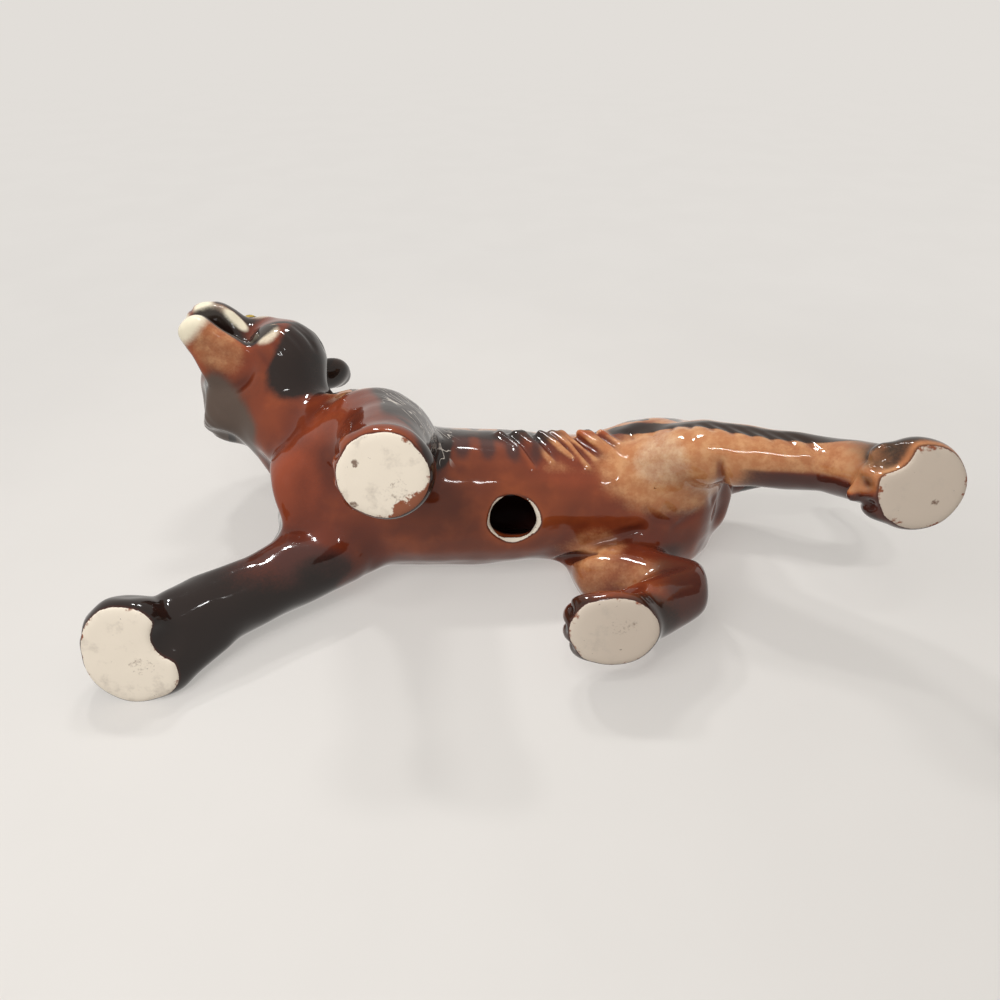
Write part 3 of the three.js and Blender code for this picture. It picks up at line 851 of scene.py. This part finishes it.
# Stripes: above 0 is black
flank_up = np.clip((bz - 48) / 57, 0, 1)
phase = bx + 9 * np.sin(bz / 14 + 0.6 * np.sign(by)) + 4.5 * np.sin(bx / 13)
phase += 2 * np.sin(bz / 4.7 + bx / 6)
stripe_body = np.cos(2 * math.pi * (phase / STRIPE_STEP)) - 1.1 + 0.85 * fade(flank_up, 0.1, 0.8)
stripe_body += 0.4 * np.sin(bx / 5.1 + bz / 9) + 0.25 * np.sin(bz / 5.3 + bx / 11)
stripe_body -= 4 * fade(nz, 0.2, -0.05) * fade(by, -26, -22) + 4 * fade(nz, 0.0, -0.3)
stripe_body -= 2 * fade(np.abs(ny), 0.5, 0.3) * fade(nz, 0.5, 0.2)
stripe_leg = np.cos(2 * math.pi * (bz + 3.5 * np.sin(bx / 6) + 2 * np.sin(by / 5)) / BAND_STEP) - 0.55
stripe_leg -= 1.6 * fade(outward, 0.75, 0.4) + 2 * fade(bz, 22, 14)
stripe_leg -= 2 * fade(bx, 60, 70) * fade(by, 0, -8) * fade(nz, 0.35, 0.1)
on_leg = np.max([fore_left, fore_right, hind_left, hind_right], axis=0)
stripe_leg -= 2 * fade(on_leg, 0.7, 0.3) + 2 * fade(nz, 0.0, -0.3)
stripe = np.where(bz > 58, stripe_body, stripe_leg)
ring = np.cos(2 * math.pi * (bx + 0.6 * bz) / BAND_STEP) - 0.15
stripe = np.where((bx > 94) & (bz > 66), ring, stripe)
crown = np.cos(2 * math.pi * (hx + 0.55 * np.abs(hy) + 1.2 * np.sin(hy / 3)) / FACE_STRIPE_STEP) - 0.45
crown -= 1.5 * (fade(hz, 20, 15) + fade(np.abs(hy), 17, 22) + fade(hx, -17, -20))
from_eye = length(hx + 16, hz - 3)
cheek = np.cos(2 * math.pi * from_eye / FACE_STRIPE_STEP) - 0.5
cheek -= 1.5 * (fade(np.abs(hy), 14, 10) + fade(from_eye, 14, 11) + fade(hz, -14, -19))
stripe = np.where(on_head > 0.3, np.maximum(crown, cheek), stripe)
for side in SIDES:  # dots at the roots of the whiskers
    for row in range(len(WHISKER_ROWS)):
        for dot in range(4):
            x = -31.5 + 2.8 * dot
            y = side * (6.2 + 2.4 * dot - 0.3 * dot * dot)
            z = -3.2 - 2.3 * row + 0.3 * dot
            away = length(hx - x, hy - y, hz - z)
            stripe = np.maximum(stripe, np.where(away < 4, 0.9 - away, -1))
stripe = np.clip(stripe, -1, 1)

# Eyes: distance from the middle of the pupil
eye = np.full(len(points), FAR)
for side in SIDES:
    x, y, z = hx - EYE[0], hy - EYE[1] * side, hz - EYE[2]
    look = np.array([-0.8, 0.55 * side, 0.1])
    look = look / np.linalg.norm(look)
    ahead = x * look[0] + y * look[1] + z * look[2]
    away = np.sqrt(np.maximum(x ** 2 + y ** 2 + z ** 2 - ahead ** 2, 0))
    eye = np.where((ahead > 0) & (ahead < 7), np.minimum(eye, away), eye)

# Bare clay: the ground soles, how far a point on one is from its edge, and the raw edge of the vent
near_ground = points[:, 2] < SOLE_TOP
above_sole = points.copy()
above_sole[:, 2] = SOLE_LOOK
inset = np.where(near_ground, -sampled(uncut, above_sole), FAR)
inset -= 3.6 * spot(BODY, (-30, -18.5, 0), (12, 9, 4))  # the front left sole is worn at its rear
vent_away = length(bx, by)
vent_turn = np.arctan2(by, bx)
raw_width = 0.5 + 1.1 * fade(np.cos(vent_turn - 0.7), -0.2, 0.8) + 0.25 * np.sin(5 * vent_turn)
near_vent = (vent_away < 14) & (bz < VENT_TOP)
raw = raw_width - np.abs(vent_away - RAW_RADIUS) - 0.6 * np.maximum(bz - RAW_TOP, 0)
raw = np.where(near_vent, raw, -1)
bare = np.clip(np.maximum(np.where(near_ground, 1.3 - 1.4 * points[:, 2], -1), raw), -1, 1)

# painted shade inside the hollow behind the vent
inside_body = fade(chamber_distance(bx, by, bz), 1.5, 0.8)
dark_and_painted_shade = layered(
    # painted shade on the inner side of the left hind leg, with a painted reflection's purple tint
    hind_left * fade(ny + 0.1 * wave, -0.05, 0.25) * 0.7,
    # painted shade on the right foreleg
    0.6 * fore_right * fade(bx, -66, -84) * fade(nz, 0.3, 0.0),
    (0.6 + 0.35 * np.cos(bx / 1.7 + wave)) * on_body * fade(bz, 50, 60) * fade(bz, 84, 72)
    * fade(-ny, 0.2, 0.6) * fade(bx, -40, -26) * fade(bx, 18, 6),
    # painted shadow under the chest, at the right armpit
    0.8 * spot(BODY, (-74, 16, 35), (18, 10, 11)),
    0.3 * spot(HEAD, (4, -3, -24), (10, 9, 9)),
    0.7 * hind_right * fade(bx + 3 * wave, 44, 56),
    # painted shade on the underside of the belly's right side
    0.6 * on_body * fade(by + 3 * wave, 6, 24) * fade(nz, 0.1, -0.2) * fade(bz, 36, 42)
    * fade(bx, -92, -80) * fade(bx, 24, 8),
    spot(HEAD, (-16, 0, -14.5), (14, 10, 3.5)),
    # painted shade inside the hollow
    inside_body,
)
# painted shade: the bare soles greyer towards the rear
rear_sole_shade = near_ground * fade(bx, -20, 40)
stain = near_ground * layered(*patches(
    BODY,
    (1, (-50, -34, 0), (1.5, 1.8, 3)),
    (1, (-51, -20.7, 0), (2.0, 1.6, 3)),
    (1, (132, -21.6, 0), (1.7, 1.4, 3)),
    (0.55, (-126, 37, 0), (6, 5, 3)),
    (0.5, (-38, -24.3, 0), (6, 7, 3)),
    (0.5, (36, 22, 0), (7, 5, 3)),
))
# painted highlights: pale glints along hairlines pressed into the left foreleg's outer side
glinting_hair = fore_left * fade(0.8 * nx - 0.55 * ny, 0.45, 0.8) * fade(bz, 26, 40) * fade(bz, 92, 80)
MASKS = {
    "black_and_painted_shade": black_and_painted_shade, "tan": tan, "cream_and_hip_highlight": cream_and_hip_highlight, "stripe": stripe, "eye": eye, "bare": bare, "dark_and_painted_shade": dark_and_painted_shade,
    "glinting_hair": glinting_hair, "pool": pool, "inset": inset, "grey_cheek_shade": grey_cheek_shade, "warm": warm, "rear_sole_shade": rear_sole_shade, "stain": stain,
}


# Materials

def colour(red, green, blue):
    """A colour given as on a screen, 0 to 255, as the linear values that nodes take."""
    linear = [((c / 255 + 0.055) / 1.055) ** 2.4 for c in (red, green, blue)]
    return (*linear, 1.0)


class Shader:
    """Builds a material's nodes. Inputs are sockets or plain values."""

    def __init__(self, material):
        material.use_nodes = True
        self.tree = material.node_tree
        self.tree.nodes.clear()

    def node(self, kind, settings=None, **inputs):
        made = self.tree.nodes.new(kind)
        for key, value in (settings or {}).items():
            setattr(made, key, value)
        for key, value in inputs.items():
            self.feed(made.inputs[key.replace("_", " ")], value)
        return made

    def feed(self, socket, value):
        if isinstance(value, bpy.types.NodeSocket):
            self.tree.links.new(value, socket)
        else:
            socket.default_value = value

    def math(self, operation, *values):
        made = self.tree.nodes.new("ShaderNodeMath")
        made.operation = operation
        for socket, value in zip(made.inputs, values):
            self.feed(socket, value)
        return made.outputs[0]

    def times(self, a, b):
        return self.math("MULTIPLY", a, b)

    def plus(self, a, b):
        return self.math("ADD", a, b)

    def minus(self, a, b):
        return self.math("SUBTRACT", a, b)

    def step(self, value, start, stop, low=0.0, high=1.0):
        made = self.node("ShaderNodeMapRange", {"interpolation_type": "SMOOTHSTEP"}, Value=value)
        for key, number in zip(("From Min", "From Max", "To Min", "To Max"), (start, stop, low, high)):
            made.inputs[key].default_value = number
        return made.outputs["Result"]

    def mix(self, share, a, b):
        made = self.tree.nodes.new("ShaderNodeMix")
        made.data_type = "RGBA"
        self.feed(made.inputs["Factor"], share)
        colours = [socket for socket in made.inputs if socket.type == "RGBA"]
        self.feed(colours[0], a)
        self.feed(colours[1], b)
        return next(socket for socket in made.outputs if socket.type == "RGBA")

    def mask(self, name):
        return self.node("ShaderNodeAttribute", {"attribute_name": name}).outputs["Fac"]

    def noise(self, place, size_mm, detail=2.0, roughness=0.5):
        made = self.node("ShaderNodeTexNoise", Vector=place, Scale=MM / size_mm, Detail=detail,
                         Roughness=roughness)
        return made.outputs["Fac"]


BROWN = colour(108, 46, 27)
DEEP_BROWN = colour(66, 29, 21)
ORANGE = colour(170, 84, 42)
TAN = colour(186, 122, 78)
PALE_TAN = colour(205, 151, 105)
# grey for the painted shade on the head's right side
CHEEK_SHADE_GREY = colour(90, 74, 64)
BLACK = colour(34, 26, 23)
# for the darker coat, most of which is painted shade
PURPLE_BROWN = colour(76, 42, 36)
CREAM = colour(236, 226, 200)
RED_BROWN = colour(146, 66, 38)
BISQUE = colour(246, 234, 216)
# grey for the painted shade on the rear soles
SHADED_CLAY = colour(206, 190, 174)
SMUDGE = colour(198, 186, 172)
RUST = colour(140, 72, 40)
SPECK = colour(70, 50, 42)
STAIN = colour(104, 74, 56)
IRIS = colour(178, 150, 58)
PUPIL = colour(16, 14, 12)
# pale, for painted glints on the hairlines
HAIR_GLINT = colour(205, 196, 186)


def make_glaze():
    """The glaze over its airbrushed coats, and the bare clay where there is none."""
    material = bpy.data.materials.new("airbrushed_glaze")
    s = Shader(material)
    place = s.node("ShaderNodeTexCoord").outputs["Object"]
    cloud = s.noise(place, 14, 3)
    mottle = s.noise(place, 4.5, 4, 0.6)
    grain = s.noise(place, 0.9, 2, 0.6)
    fine = s.noise(place, 0.4, 2)
    pool, bare = s.mask("pool"), s.mask("bare")

    def ragged(value, by_mottle, by_grain):
        """A mask with its edge broken up."""
        shift = s.times(s.minus(mottle, 0.5), by_mottle)
        fray = s.times(s.minus(grain, 0.5), by_grain)
        return s.plus(value, s.plus(shift, fray))

    def sprayed(coat, mask, fraying, edge, tone, most=1.0):
        """A coat of another colour where a mask says."""
        return s.mix(s.step(ragged(s.mask(mask), *fraying), *edge, 0.0, most), coat, tone)

    thin = s.plus(s.times(pool, -0.6), s.step(cloud, 0.45, 0.75, 0.0, 0.22))
    ground = s.mix(s.step(s.noise(place, 26, 2), 0.35, 0.75, 0.0, 0.5), BROWN, DEEP_BROWN)
    ground = s.mix(s.step(thin, 0.0, 0.9), ground, ORANGE)
    ground = s.mix(s.step(ragged(pool, 0.3, 0.1), 0.15, 1.0, 0.0, 0.75), ground, DEEP_BROWN)
    sandy = s.mix(s.step(mottle, 0.35, 0.7), TAN, PALE_TAN)
    sandy = s.mix(s.step(ragged(pool, 0.4, 0.2), 0.1, 0.9, 0.0, 0.8), sandy, BROWN)
    coat = sprayed(ground, "warm", (0.3, 0.2), (0.05, 0.95), RED_BROWN, 0.9)
    coat = sprayed(coat, "tan", (0.2, 0.25), (0.1, 0.9), sandy)
    # painted shade on the head's right side
    coat = sprayed(coat, "grey_cheek_shade", (0.3, 0.2), (0.15, 0.85), CHEEK_SHADE_GREY)
    # a darker coat, most of it painted shade
    coat = sprayed(coat, "dark_and_painted_shade", (0.2, 0.2), (0.2, 0.8), PURPLE_BROWN)
    # cream paint, and the painted highlight on the left hip
    coat = sprayed(coat, "cream_and_hip_highlight", (0.2, 0.18), (0.15, 0.85), CREAM)
    # black paint, with painted shade on the right foreleg and painted shadow under the chest
    coat = sprayed(coat, "black_and_painted_shade", (0.3, 0.18), (0.12, 0.7), BLACK, 0.97)
    coat = sprayed(coat, "stripe", (0.5, 0.3), (-0.16, 0.2), BLACK, 0.95)
    eye = s.mask("eye")
    coat = s.mix(s.step(eye, 3.9, 3.4), coat, PUPIL)
    coat = s.mix(s.step(eye, 2.9, 2.6), coat, IRIS)
    coat = s.mix(s.step(eye, 1.3, 1.05), coat, PUPIL)

    # hairlines pressed into the glaze, painted pale as glints of light along them
    strands = s.node("ShaderNodeMapping", {"vector_type": "TEXTURE"}, Vector=place,
                     Rotation=(0.0, -0.8, 0.5), Scale=(1.0, 1.0, 14.0))
    strand = s.noise(strands.outputs["Vector"], 2.6, 0)
    line = s.step(s.math("ABSOLUTE", s.minus(strand, 0.5)), 0.032, 0.014)
    line = s.times(line, s.step(s.noise(place, 9, 2), 0.36, 0.5))
    glinting_hairlines = s.times(line, s.mask("glinting_hair"))
    coat = s.mix(glinting_hairlines, coat, HAIR_GLINT)

    # painted shade on the rear soles
    clay = s.mix(s.times(s.mask("rear_sole_shade"), 0.85), BISQUE, SHADED_CLAY)
    clay = s.mix(s.step(s.noise(place, 9, 4, 0.65), 0.52, 0.72, 0.0, 0.55), clay, SMUDGE)
    clay = sprayed(clay, "stain", (1.2, 1.2), (0.5, 1.1), STAIN, 0.85)
    clay = s.mix(s.step(s.noise(place, 2.6, 3, 0.7), 0.68, 0.76, 0.0, 0.8), clay, SPECK)
    wear = s.times(s.minus(s.noise(place, 6, 3, 0.7), 0.5), 9.0)
    edge = s.minus(ragged(s.mask("inset"), 0.0, 2.4), wear)
    clay = s.mix(s.step(edge, 0.9, -0.2, 0.0, 0.95), clay, RUST)
    coat = s.mix(s.step(bare, -0.95, -0.2, 0.0, 0.75), coat, DEEP_BROWN)
    is_bare = s.step(ragged(bare, 0.9, 0.25), -0.06, 0.06)
    coat = s.mix(is_bare, coat, clay)

    shine = s.step(mottle, 0.3, 0.8, 0.05, 0.13)
    rough = s.plus(shine, s.times(is_bare, 0.65))
    ripple = s.plus(s.times(cloud, 0.5), s.times(s.noise(place, 6, 2), 0.5))
    tooth = s.times(s.times(fine, is_bare), 0.05)
    relief = s.plus(s.times(ripple, 0.35), tooth)
    relief = s.minus(relief, s.times(glinting_hairlines, 0.15))
    bump = s.node("ShaderNodeBump", Height=relief, Strength=0.6, Distance=1 / MM)
    glaze = s.node("ShaderNodeBsdfPrincipled", Base_Color=coat, Roughness=rough,
                   Normal=bump.outputs["Normal"])
    glaze.inputs["Specular IOR Level"].default_value = 0.38
    s.node("ShaderNodeOutputMaterial", Surface=glaze.outputs["BSDF"])
    return material


glaze = make_glaze()

for name, (nodes, _, slot) in PIECES.items():
    used, quads = np.unique(piece_faces[NUMBER[name]], return_inverse=True)
    mesh = new_mesh(name + "_piece", points[used], quads.reshape(-1, 4))
    mesh.normals_split_custom_set_from_vertices(normals[used].astype(np.float32))
    for mask, values in MASKS.items():
        attribute = mesh.attributes.new(mask, "FLOAT", "POINT")
        attribute.data.foreach_set("value", values[used].astype(np.float32))
    mesh.materials.append(glaze)
    piece = bpy.data.objects.new(name + "_glazed", mesh)
    scene.collection.objects.link(piece)
    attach(piece, "root")
    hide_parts(*nodes)


# Camera: where the photograph was taken from, measured from the front left sole
CAMERA_FROM_SOLE = np.array([36.7, -61.7, -216.5])
CAMERA_TILT = math.radians(162.26)
CAMERA_VIEW = math.radians(69.3)

camera_data = bpy.data.cameras.new("camera")
camera_data.angle = CAMERA_VIEW
camera_data.clip_start = 0.01
camera = bpy.data.objects.new("camera", camera_data)
camera.location = Vector((SOLES["front_left"] + CAMERA_FROM_SOLE) / MM)
camera.rotation_euler = (CAMERA_TILT, 0, 0)
scene.collection.objects.link(camera)
scene.camera = camera

# Stage: a pale room with soft light
PALE = colour(226, 222, 217)
ROOM_LIGHT = 0.5  # the room's own light, as a share of its visible brightness

world = bpy.data.worlds.new("studio")
w = Shader(world)
path = w.node("ShaderNodeLightPath")
seen = w.math("MAXIMUM", path.outputs["Is Camera Ray"], w.math(
    "MAXIMUM", path.outputs["Is Glossy Ray"], path.outputs["Is Transmission Ray"]))
sky = w.node("ShaderNodeBackground", Color=PALE, Strength=w.step(seen, 0.0, 1.0, ROOM_LIGHT, 1.0))
w.node("ShaderNodeOutputWorld", Surface=sky.outputs["Background"])
scene.world = world
scene.view_settings.view_transform = "Standard"

PALE_GRAIN = colour(220, 216, 211)
FLOOR_REACH = 2.0
FLOOR_SOLID = 0.2  # share of its reach up to which it is solid
FLOOR_SIDES = 48
FLOOR_OWN_LIGHT = 0.5
FLOOR_NEAR = (0.12, 0.48)  # where the floor goes over into the room


def make_floor_material():
    """Pale, seen from its front only, and fading out into the room with distance."""
    material = bpy.data.materials.new("pale_floor")
    s = Shader(material)
    place = s.node("ShaderNodeTexCoord").outputs["Object"]
    reach = s.node("ShaderNodeVectorMath", {"operation": "LENGTH"})
    s.feed(reach.inputs[0], place)
    solid = s.step(reach.outputs["Value"], FLOOR_REACH, FLOOR_SOLID * FLOOR_REACH)
    back = s.node("ShaderNodeNewGeometry").outputs["Backfacing"]
    solid = s.times(solid, s.minus(1.0, back))
    grain = s.noise(place, 60, 3)
    tone = s.mix(s.step(grain, 0.3, 0.7, 0.0, 0.25), PALE, PALE_GRAIN)
    lit = s.node("ShaderNodeBsdfDiffuse", Color=tone)
    glow = s.node("ShaderNodeEmission", Color=tone)
    own_light = s.step(reach.outputs["Value"], *FLOOR_NEAR, FLOOR_OWN_LIGHT, 1.0)
    both = s.node("ShaderNodeMixShader", Fac=own_light)
    s.feed(both.inputs[1], lit.outputs["BSDF"])
    s.feed(both.inputs[2], glow.outputs["Emission"])
    clear = s.node("ShaderNodeBsdfTransparent")
    out = s.node("ShaderNodeMixShader", Fac=solid)
    s.feed(out.inputs[1], clear.outputs["BSDF"])
    s.feed(out.inputs[2], both.outputs["Shader"])
    s.node("ShaderNodeOutputMaterial", Surface=out.outputs["Shader"])
    return material


def add_floor(name, material, middle, facing):
    """A round floor that only the camera sees, so that it takes no light from the object."""
    mesh = bpy.data.meshes.new(name)
    turns = np.linspace(0, 2 * math.pi, FLOOR_SIDES, endpoint=False)
    rim = [(FLOOR_REACH * math.cos(a), FLOOR_REACH * math.sin(a), 0) for a in turns]
    mesh.from_pydata(rim, [], [list(range(len(rim)))])
    mesh.materials.append(material)
    floor = bpy.data.objects.new(name, mesh)
    floor.location = Vector(middle) / MM
    floor.rotation_euler = Vector(facing).to_track_quat("Z", "Y").to_euler()
    for ray in ("visible_diffuse", "visible_glossy", "visible_transmission", "visible_shadow"):
        setattr(floor, ray, False)
    scene.collection.objects.link(floor)


# The floor that the tiger stands on, and the one that it lies on in the photograph, at its right side
FLOOR_HEIGHT = -0.3
LYING_FLOOR_ASIDE = 64.5
LYING_FLOOR_FACING = (0, -0.94, -0.342)
floor_material = make_floor_material()
add_floor("floor", floor_material, (0, 0, FLOOR_HEIGHT), (0, 0, 1))
add_floor("lying_floor", floor_material, (0, LYING_FLOOR_ASIDE, 0), LYING_FLOOR_FACING)

AIM = Vector((0, 0, 0.06))  # what the lamps point at, in metres like the lamps' own sizes


def add_lamp(name, toward, away, width, height, power, glossy=True):
    """A lamp in a direction from the aim. The glaze mirrors it only if it is glossy."""
    data = bpy.data.lights.new(name, "AREA")
    data.shape = "RECTANGLE"
    data.size, data.size_y = width, height
    data.energy = power
    lamp = bpy.data.objects.new(name, data)
    lamp.location = AIM + Vector(toward).normalized() * away
    lamp.rotation_euler = (AIM - lamp.location).to_track_quat("-Z", "Y").to_euler()
    lamp.visible_glossy = glossy
    scene.collection.objects.link(lamp)


add_lamp("key_front", (-0.42, -1.1, 0.25), 0.6, 0.05, 0.03, 0.9)
add_lamp("key_rear", (-0.1, -1.15, 0.26), 0.6, 0.1, 0.045, 0.9)
add_lamp("streak", (-0.02, -0.73, -0.68), 0.6, 0.09, 0.018, 0.3)
add_lamp("under_fill", (-0.42, -0.5, -0.75), 0.6, 0.4, 0.3, 1.8, False)
add_lamp("top_fill", (0.2, 0.25, 1), 0.7, 0.3, 0.3, 0.8, False)
add_lamp("right_fill", (0.3, 1, 0.35), 0.7, 0.3, 0.3, 0.6, False)
